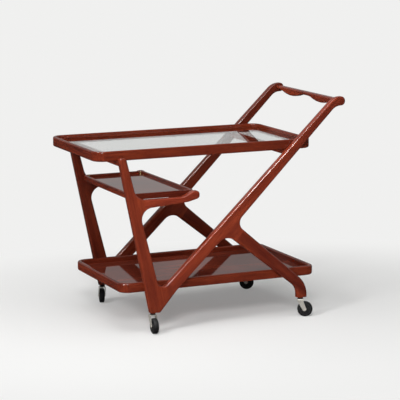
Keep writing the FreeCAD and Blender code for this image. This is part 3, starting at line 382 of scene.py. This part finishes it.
def clear_glass(name, tint):
    """Clear float glass, with fine dust and faint wipe marks in its gloss."""
    finish = Finish(name)
    where = finish.place()
    dust = finish.noise(where, 900, detail=1)
    wipes = finish.noise(where, (3, 26, 3), roughness=0.6, distortion=1.2)
    haze = finish.sum(finish.span(dust, 0.0, 0.012, start=0.66, end=0.80),
                      finish.span(wipes, 0.0, 0.012, start=0.5, end=0.8))
    body = finish.add("BsdfPrincipled", {
        "Base Color": tint, "Roughness": haze, "IOR": GLASS_IOR, "Transmission Weight": 1.0})
    passed = finish.add("BsdfTransparent", {"Color": PASSED_LIGHT})
    ray = finish.add("LightPath").outputs
    return finish.close(finish.join(finish.most(ray["Is Shadow Ray"], ray["Is Diffuse Ray"]), body, passed))


def plated_steel(name, tone, rough=0.34, grime=0.5, metal=0.4):
    """Dull plate with fine scratches and darker, rougher patches."""
    finish = Finish(name)
    where = finish.place()
    blotch = finish.noise(where, 95, detail=4, roughness=0.6)
    speck = finish.noise(where, 900, roughness=0.6)
    scratch = finish.noise(where, (60, 60, 2600), detail=1)
    body = finish.blend(finish.span(blotch, 0.0, grime, start=0.45, end=0.75), tone, shaded(tone, 0.45))
    body = finish.blend(finish.span(speck, 0.0, 0.5, start=0.64, end=0.74), body, SPECK_TONE)
    sheen = finish.sum(finish.span(blotch, rough - 0.06, rough + 0.14), finish.span(scratch, -0.03, 0.06))
    height = finish.sum(finish.span(scratch, 0.0, 0.4), finish.span(speck, 0.0, 0.6))
    return finish.surface({
        "Base Color": body, "Metallic": metal, "Roughness": sheen,
        "Normal": finish.bump(height, distance=0.00005, strength=0.5)})


def moulded(name, tone, worn, rough, fine):
    """Dark moulded plastic or rubber with a fine pebble and pale dust where it wears."""
    finish = Finish(name)
    where = finish.place()
    pebble = finish.noise(where, fine, roughness=0.55)
    dust = finish.noise(where, 120, detail=4, roughness=0.65)
    smear = finish.noise(where, 30)
    body = finish.blend(finish.span(dust, 0.0, 0.55, start=0.48, end=0.80), tone, worn)
    body = finish.blend(finish.span(pebble, 0.0, 0.25, start=0.50, end=0.80), body, shaded(tone, 0.55))
    sheen = finish.sum(finish.span(smear, rough - 0.08, rough + 0.10), finish.span(dust, 0.0, 0.10))
    return finish.surface({
        "Base Color": body, "Roughness": sheen, "Specular IOR Level": 0.3,
        "Normal": finish.bump(pebble, distance=0.00008, strength=0.7)})


# Modelling


def give(node, material):
    """Puts a material on all of a CAD node."""
    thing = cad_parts[node]
    if not thing.material_slots:
        thing.data.materials.append(material)
    for place in thing.material_slots:
        place.material = material


def middle(node):
    """The middle of a CAD node's box."""
    low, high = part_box(node)
    return (low + high) / 2


def caster_turn(corner):
    """The way a caster's wheel trails, as an angle about the upright."""
    away = middle(corner + "_tyre") - middle(corner + "_stem")
    return math.atan2(away.y, away.x)


def select(piece, kind, test):
    """Selects the faces or edges whose test is true, and nothing else."""
    bpy.ops.mesh.select_mode(type={"faces": "FACE", "edges": "EDGE"}[kind])
    bpy.ops.mesh.select_all(action="DESELECT")
    shape = bmesh.from_edit_mesh(piece.data)
    for part in getattr(shape, kind):
        if test(part):
            part.select_set(True)
    shape.select_flush_mode()
    bmesh.update_edit_mesh(piece.data)


def wheel_blank(name, sizes, radius, width):
    """A plain disc across Y, opened in edit mode."""
    bpy.ops.object.select_all(action="DESELECT")
    bpy.ops.mesh.primitive_cylinder_add(
        vertices=sizes.round_steps, radius=radius, depth=width, rotation=(math.radians(90), 0, 0))
    bpy.ops.object.transform_apply(location=False, rotation=True, scale=False)
    piece = bpy.context.object
    piece.name = name
    piece.data.name = name
    bpy.ops.object.mode_set(mode="EDIT")
    return piece


def is_end(face):
    """Whether a face is the innermost one of a wheel's side."""
    return abs(face.normal.y) > FLAT and len(face.verts) > MANY_CORNERS


def step_in(piece, steps):
    """Shapes both sides of a wheel, step by step towards its middle."""
    for thickness, depth in steps:
        select(piece, "faces", is_end)
        bpy.ops.mesh.inset(thickness=max(thickness, LEAST_STEP), depth=depth)


def bore(piece):
    """Turns the innermost faces of both sides into a hole."""
    select(piece, "faces", is_end)
    bpy.ops.mesh.delete(type="FACE")
    select(piece, "edges", lambda edge: len(edge.link_faces) == 1)
    bpy.ops.mesh.bridge_edge_loops()


def finish_piece(piece, material, smooth):
    """Closes edit mode, shades the piece smooth up to an angle in degrees and gives it its material."""
    bpy.ops.mesh.select_all(action="SELECT")
    bpy.ops.mesh.remove_doubles(threshold=MERGE_DISTANCE)
    bpy.ops.mesh.normals_make_consistent(inside=False)
    bpy.ops.object.mode_set(mode="OBJECT")
    bpy.ops.object.select_all(action="DESELECT")
    piece.select_set(True)
    bpy.context.view_layer.objects.active = piece
    bpy.ops.object.shade_smooth_by_angle(angle=math.radians(smooth))
    piece.data.materials.append(material)
    return piece


def put(piece, name, where, turn):
    """A copy of a piece with its own mesh, turned and moved, with its place in its mesh."""
    copy = piece.copy()
    copy.data = piece.data.copy()
    copy.name = name
    copy.data.name = name
    bpy.context.scene.collection.objects.link(copy)
    bpy.ops.object.select_all(action="DESELECT")
    copy.select_set(True)
    bpy.context.view_layer.objects.active = copy
    copy.rotation_euler = turn
    copy.location = where
    bpy.ops.object.transform_apply(location=True, rotation=True, scale=True)
    return copy


class TrolleyOperator(bpy.types.Operator):
    """Shared settings of the operators."""

    bl_options = {"REGISTER", "UNDO"}


class TROLLEY_OT_side_frames(TrolleyOperator):
    """Stains and lacquers the boards of both side frames, with the grain along each board"""

    bl_idname = "trolley.side_frames"
    bl_label = "Side frames"

    def execute(self, context):
        colours, sizes = context.scene.trolley_colours, context.scene.trolley_sizes
        for board, (grain, seed, paleness) in BOARDS.items():
            for count, side in enumerate(SIDES):
                # Painted light and shade: the board's paleness brightens the brackets and arms, and the
                # side's share darkens the far frame
                share = paleness * SIDE_PAINTED_SHADE[side]
                give(board + "_" + side, stained_wood(
                    board + "_wood_" + side, shaded(colours.wood_light, share),
                    shaded(colours.wood_dark, share), sizes.grain_spacing,
                    turn=(0, math.radians(grain), 0), shift=(seed, seed * 1.7 + count, 0.37 * seed)))
        return {"FINISHED"}


class TROLLEY_OT_rails(TrolleyOperator):
    """Stains and lacquers the cross rails and the handle bar, and finishes the dowels in bare wood"""

    bl_idname = "trolley.rails"
    bl_label = "Cross rails, handle bar and dowels"

    def execute(self, context):
        colours, sizes = context.scene.trolley_colours, context.scene.trolley_sizes
        for count, rail in enumerate(("front_cross_rail", "rear_cross_rail", "handle_bar")):
            give(rail, stained_wood(
                rail + "_wood", colours.wood_light, colours.wood_dark, sizes.grain_spacing,
                turn=(0, 0, ACROSS), shift=(0.9 * count, 5.0 + count, 1.3), rough=0.36))
        bare = stained_wood(
            "dowel_wood", colours.dowel_light, colours.dowel_dark, sizes.grain_spacing, rough=0.55, coat=0.0)
        give("frame_dowels", bare)
        give("cross_rail_dowels", bare)
        return {"FINISHED"}


class TROLLEY_OT_tray_rims(TrolleyOperator):
    """Stains and lacquers the mitred rims of the two trays and the shelf"""

    bl_idname = "trolley.tray_rims"
    bl_label = "Tray rims"

    def execute(self, context):
        colours, sizes = context.scene.trolley_colours, context.scene.trolley_sizes
        light, dark = shaded(colours.wood_light, RIM_PALENESS), shaded(colours.wood_dark, RIM_PALENESS)
        for number, tray in enumerate(TRAYS):
            for count, rail in enumerate(RIM_RAILS):
                turn = ACROSS if rail in ("front", "rear") else 0.0
                give("%s_%s_rail" % (tray, rail), stained_wood(
                    "%s_%s_wood" % (tray, rail), light, dark, sizes.grain_spacing * RIM_RING_SHARE,
                    turn=(0, 0, turn), shift=(number + 0.31 * count, 9.0 + count, number * 2.7),
                    coat_rough=0.09))
        return {"FINISHED"}


class TROLLEY_OT_panels(TrolleyOperator):
    """Finishes the veneered panels of the shelf and the lower tray with a high gloss"""

    bl_idname = "trolley.panels"
    bl_label = "Veneered panels"

    def execute(self, context):
        colours, sizes = context.scene.trolley_colours, context.scene.trolley_sizes
        for count, (panel, (paleness, coat)) in enumerate(PANELS.items()):
            give(panel, stained_wood(
                panel + "_veneer", shaded(colours.panel_light, paleness),
                shaded(colours.panel_dark, paleness), sizes.grain_spacing * PANEL_RING_SHARE,
                shift=(3.0 + count, 0.23 * count, 7.7), rough=0.35, coat=coat, coat_rough=0.05,
                contrast=1.25, relief=0.15))
        return {"FINISHED"}


class TROLLEY_OT_glass_pane(TrolleyOperator):
    """Finishes the glass pane of the upper tray"""

    bl_idname = "trolley.glass_pane"
    bl_label = "Glass pane"

    def execute(self, context):
        give("glass_pane", clear_glass("float_glass", context.scene.trolley_colours.glass_tint))
        return {"FINISHED"}


class TROLLEY_OT_metal(TrolleyOperator):
    """Finishes the forks, stems, axles and sockets in plated steel and the screws in brass"""

    bl_idname = "trolley.metal"
    bl_label = "Caster metal and screws"

    def execute(self, context):
        colours = context.scene.trolley_colours
        plate = plated_steel("nickel_plate", colours.nickel)
        bright = plated_steel("rivet_plate", shaded(colours.nickel, 1.2), rough=0.24, grime=0.25)
        # The sockets are nearly black: dull dark metal together with painted shade for the gap under the wood
        dark = plated_steel("socket_plate", shaded(colours.nickel, 0.07), rough=0.42, grime=0.7, metal=0.9)
        brass = plated_steel("screw_brass", colours.brass, rough=0.36, grime=0.6, metal=0.9)
        for corner in CORNERS:
            give(corner + "_fork", plate)
            give(corner + "_stem", bright)
            give(corner + "_axle", bright)
        give("caster_sockets", dark)
        give("shelf_screws", brass)
        give("lower_tray_screws", brass)
        return {"FINISHED"}


class TROLLEY_OT_wheels(TrolleyOperator):
    """Models one tyre and one wheel centre and puts a copy in each caster"""

    bl_idname = "trolley.wheels"
    bl_label = "Wheels"

    def execute(self, context):
        colours, sizes = context.scene.trolley_colours, context.scene.trolley_sizes
        low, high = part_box("front_left_tyre")
        radius = (high.z - low.z) / 2
        turn = caster_turn("front_left")
        width = (high.x - low.x - 2 * radius * abs(math.cos(turn))) / abs(math.sin(turn))
        core_low, core_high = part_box("front_left_wheel_core")
        core = (core_high.z - core_low.z) / 2
        rubber = moulded("tyre_rubber_black", colours.rubber, WORN_RUBBER, rough=0.55, fine=1800)
        plastic = moulded("wheel_plastic_black", colours.plastic, WORN_PLASTIC, rough=0.36, fine=900)
        tyre = self.tyre(sizes, radius, width, core, rubber)
        centre = self.centre(sizes, core, width, plastic)
        patterns = ((tyre, "tyre_rubber", "tyre", "tyre_rubber"),
                    (centre, "wheel_centre", "wheel_core", "wheel_plastic"))
        for corner in CORNERS:
            about = (0, 0, caster_turn(corner))
            for pattern, name, node, place in patterns:
                piece = put(pattern, "%s_%s" % (corner, name), middle("%s_tyre" % corner), about)
                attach(piece, corner + "_wheel")
                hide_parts("%s_%s" % (corner, node))
        for pattern in (tyre, centre):
            bpy.data.objects.remove(pattern)
        return {"FINISHED"}

    def tyre(self, sizes, radius, width, core, material):
        """A ring with rounded shoulders, a groove round the tread and a step at each side."""
        half = width / 2
        piece = wheel_blank("tyre_pattern", sizes, radius, width)
        select(piece, "edges", lambda edge: all(abs(abs(end.co.y) - half) < NEAR for end in edge.verts))
        bpy.ops.mesh.bevel(offset=sizes.tyre_shoulder, segments=SHOULDER_FACETS, affect="EDGES")
        groove = sizes.tread_groove_width / 2
        for place in (-groove, groove):
            bpy.ops.mesh.select_all(action="SELECT")
            bpy.ops.mesh.bisect(plane_co=(0, place, 0), plane_no=(0, 1, 0))
        select(piece, "faces", lambda face: abs(face.calc_center_median().y) < groove)
        bpy.ops.mesh.extrude_region_move()
        shrink = (radius - sizes.tread_groove_depth) / radius
        bpy.ops.transform.resize(value=(shrink, 1, shrink), center_override=(0, 0, 0))
        inside = radius - sizes.tyre_shoulder - sum(thickness for thickness, depth in TYRE_STEPS)
        step_in(piece, (*TYRE_STEPS, (inside - core, 0.0)))
        bore(piece)
        return finish_piece(piece, material, smooth=40)

    def centre(self, sizes, radius, width, material):
        """A disc with a raised rim, a dished web, a ring step and a hub with a hole."""
        piece = wheel_blank("wheel_centre_pattern", sizes, radius, width)
        web = radius - sum(thickness for thickness, depth in RIM_STEPS) - HUB_RADIUS
        cap = HUB_RADIUS - sum(thickness for thickness, depth in HUB_STEPS) - AXLE_HOLE_RADIUS
        step_in(piece, (*RIM_STEPS, (web, 0.0), *HUB_STEPS, (cap, 0.0)))
        bore(piece)
        return finish_piece(piece, material, smooth=35)


class TROLLEY_OT_stage(TrolleyOperator):
    """Adds the pale floor, the lamps, the sky and the camera"""

    bl_idname = "trolley.stage"
    bl_label = "Floor, lamps and camera"

    def execute(self, context):
        stage, tone = context.scene.trolley_stage, context.scene.trolley_colours.floor
        self.floor(stage, tone)
        self.sky(context, stage, tone)
        self.lamp("soft_lamp", stage.soft_lamp, **SOFT_LAMP)
        fill = self.lamp("fill_lamp", stage.fill_lamp, **FILL_LAMP)
        fill.visible_glossy = False
        for side, turn in PAIR_TURNS.items():
            key = self.lamp_around("key_lamp_" + side, stage.key_lamp / 2, turn, **KEY_LAMP)
            key.visible_glossy = False
            glint = self.lamp_around("glint_lamp_" + side, stage.glint_lamp / 2, turn, **GLINT_LAMP)
            glint.visible_diffuse = False
        self.camera(context, stage)
        return {"FINISHED"}

    def floor(self, stage, tone):
        """A pale floor that keeps the shadow and fades into the backdrop."""
        bpy.ops.object.select_all(action="DESELECT")
        bpy.ops.mesh.primitive_grid_add(
            x_subdivisions=FLOOR_SQUARES, y_subdivisions=FLOOR_SQUARES, size=FLOOR_SIZE)
        floor = bpy.context.object
        floor.name = "floor"
        finish = Finish("floor_paper")
        where = finish.add("TexCoord").outputs["Object"]
        away = finish.add(
            "VectorMath", {0: finish.stretched(where, FADE_STRETCH)}, operation="LENGTH").outputs["Value"]
        tooth = finish.noise(where, 260)
        paper = finish.add("BsdfPrincipled", {
            "Base Color": finish.blend(finish.span(tooth, 0.0, 0.03), tone, shaded(tone, 0.92)),
            "Roughness": 0.85, "Specular IOR Level": 0.0})
        backdrop = finish.add("Emission", {"Color": tone, "Strength": 1.0})
        dim = finish.add("Emission", {"Color": tone, "Strength": stage.dim_room})
        ray = finish.add("LightPath").outputs
        seen = finish.most(ray["Is Camera Ray"], ray["Is Transmission Ray"])
        far = finish.span(finish.smooth(away, FADE_START, FADE_END), stage.shadow_lift, 1.0)
        plain = finish.join(finish.sum(far, seen, "MULTIPLY"), paper, backdrop)
        # A ray that rough glass bends counts as glossy too, so such rays are taken off the mirrored ones
        mirrored = finish.sum(ray["Is Glossy Ray"], ray["Is Transmission Ray"], "SUBTRACT")
        floor.data.materials.append(finish.close(finish.join(mirrored, plain, dim)))

    def sky(self, context, stage, tone):
        """Even light; a mirrored ray meets a pale room behind the trolley and a dim one in front."""
        world = bpy.data.worlds.new("pale_sky")
        context.scene.world = world
        world.use_nodes = True
        nodes = Nodes(world.node_tree)
        ray = nodes.add("LightPath").outputs
        where = nodes.add("TexCoord").outputs["Generated"]
        to_camera = (math.sin(stage.camera_turn), -math.cos(stage.camera_turn), 0)
        front = nodes.add("VectorMath", {0: where, 1: to_camera}, operation="DOT_PRODUCT").outputs["Value"]
        lit = nodes.add("Background", {0: SKY_TONE, 1: stage.sky})
        backdrop = nodes.add("Background", {0: tone, 1: 1.0})
        grey = nodes.add("Background", {0: tone, 1: stage.grey_room})
        dim = nodes.add("Background", {0: tone, 1: stage.dim_room})
        room = nodes.join(nodes.smooth(front, ROOM_EDGE_START, ROOM_EDGE_END), grey, dim)
        mirrored = nodes.join(ray["Is Glossy Ray"], lit, room)
        plain = nodes.join(nodes.most(ray["Is Camera Ray"], ray["Is Transmission Ray"]), mirrored, backdrop)
        nodes.add("OutputWorld", {0: plain.outputs[0]})

    def lamp(self, name, power, where, facing, width):
        """A round lamp that looks at a point above the floor's middle."""
        light = bpy.data.lights.new(name, "AREA")
        light.shape = "DISK"
        light.size = width
        light.energy = power
        thing = bpy.data.objects.new(name, light)
        bpy.context.scene.collection.objects.link(thing)
        thing.location = where
        thing.rotation_euler = (Vector((0, 0, facing)) - Vector(where)).to_track_quat("-Z", "Y").to_euler()
        return thing

    def lamp_around(self, name, power, turn, rise, away, facing, width):
        """A round lamp at two angles from the point that it looks at."""
        turn, rise = math.radians(turn), math.radians(rise)
        where = (away * math.cos(turn) * math.cos(rise), away * math.sin(turn) * math.cos(rise),
                 facing + away * math.sin(rise))
        return self.lamp(name, power, where, facing, width)

    def camera(self, context, stage):
        """The camera at the photograph's angle, and the plain view transform."""
        turn, up = stage.camera_turn, stage.camera_height
        back = Vector((math.sin(turn) * math.cos(up), -math.cos(turn) * math.cos(up), math.sin(up)))
        lens = bpy.data.cameras.new("camera")
        lens.lens = stage.lens
        lens.sensor_width = SENSOR_WIDTH
        lens.clip_end = VIEW_REACH
        camera = bpy.data.objects.new("camera", lens)
        context.scene.collection.objects.link(camera)
        camera.location = Vector(stage.aim) + back * stage.camera_distance
        camera.rotation_euler = (-back).to_track_quat("-Z", "Y").to_euler()
        context.scene.camera = camera
        context.scene.view_settings.view_transform = "Standard"


class TROLLEY_PT_panel(bpy.types.Panel):
    """Lists the steps in the order in which they are made"""

    bl_idname = "TROLLEY_PT_panel"
    bl_label = "Serving trolley"
    bl_space_type = "VIEW_3D"
    bl_region_type = "UI"
    bl_category = "Trolley"

    def draw(self, context):
        column = self.layout.column()
        for step in STEPS:
            column.operator(step.bl_idname)
        for group in GROUPS:
            settings = getattr(context.scene, group)
            for key in settings.bl_rna.properties.keys():
                if key not in ("rna_type", "name"):
                    column.prop(settings, key)


STEPS = (TROLLEY_OT_side_frames, TROLLEY_OT_rails, TROLLEY_OT_tray_rims, TROLLEY_OT_panels,
         TROLLEY_OT_glass_pane, TROLLEY_OT_metal, TROLLEY_OT_wheels, TROLLEY_OT_stage)
GROUPS = {"trolley_colours": TrolleyColours, "trolley_sizes": TrolleySizes, "trolley_stage": TrolleyStage}


def register():
    for kind in (*GROUPS.values(), *STEPS, TROLLEY_PT_panel):
        bpy.utils.register_class(kind)
    for name, kind in GROUPS.items():
        setattr(bpy.types.Scene, name, PointerProperty(type=kind))


def unregister():
    for name in GROUPS:
        delattr(bpy.types.Scene, name)
    for kind in reversed((*GROUPS.values(), *STEPS, TROLLEY_PT_panel)):
        bpy.utils.unregister_class(kind)


def main():
    """Makes the whole trolley and its stage."""
    register()
    bpy.ops.trolley.side_frames()
    bpy.ops.trolley.rails()
    bpy.ops.trolley.tray_rims()
    bpy.ops.trolley.panels()
    bpy.ops.trolley.glass_pane()
    bpy.ops.trolley.metal()
    bpy.ops.trolley.wheels()
    bpy.ops.trolley.stage()


if __name__ == "__main__":
    main()
